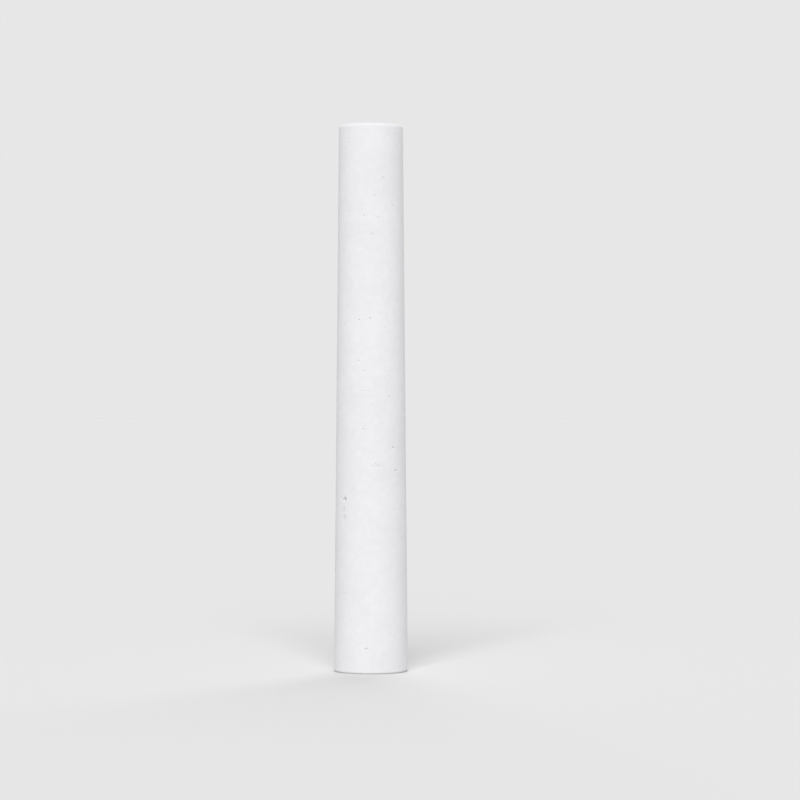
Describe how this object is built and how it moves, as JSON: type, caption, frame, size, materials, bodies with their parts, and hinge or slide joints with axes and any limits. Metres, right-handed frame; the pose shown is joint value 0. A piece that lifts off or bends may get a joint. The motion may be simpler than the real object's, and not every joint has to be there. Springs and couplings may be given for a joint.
{
  "type": "chalk stick",
  "caption": "Slender round stick of white writing chalk, tapering slightly from a flat wide end to a flat narrow end, with softly rounded rims and small casting pores.",
  "frame": {"origin": "centre of the flat struck end, which is the wide end that the stick stands on", "axes": "+Z along the stick, from the wide struck end to the narrow moulded end; -Y is the front, where the open pores of the reference view lie"},
  "size_m": [0.0108, 0.0108, 0.08],
  "materials": {
    "chalk": "matte"
  },
  "bodies": {
    "root": {"chalk_stick": "chalk"}
  },
  "joints": []
}
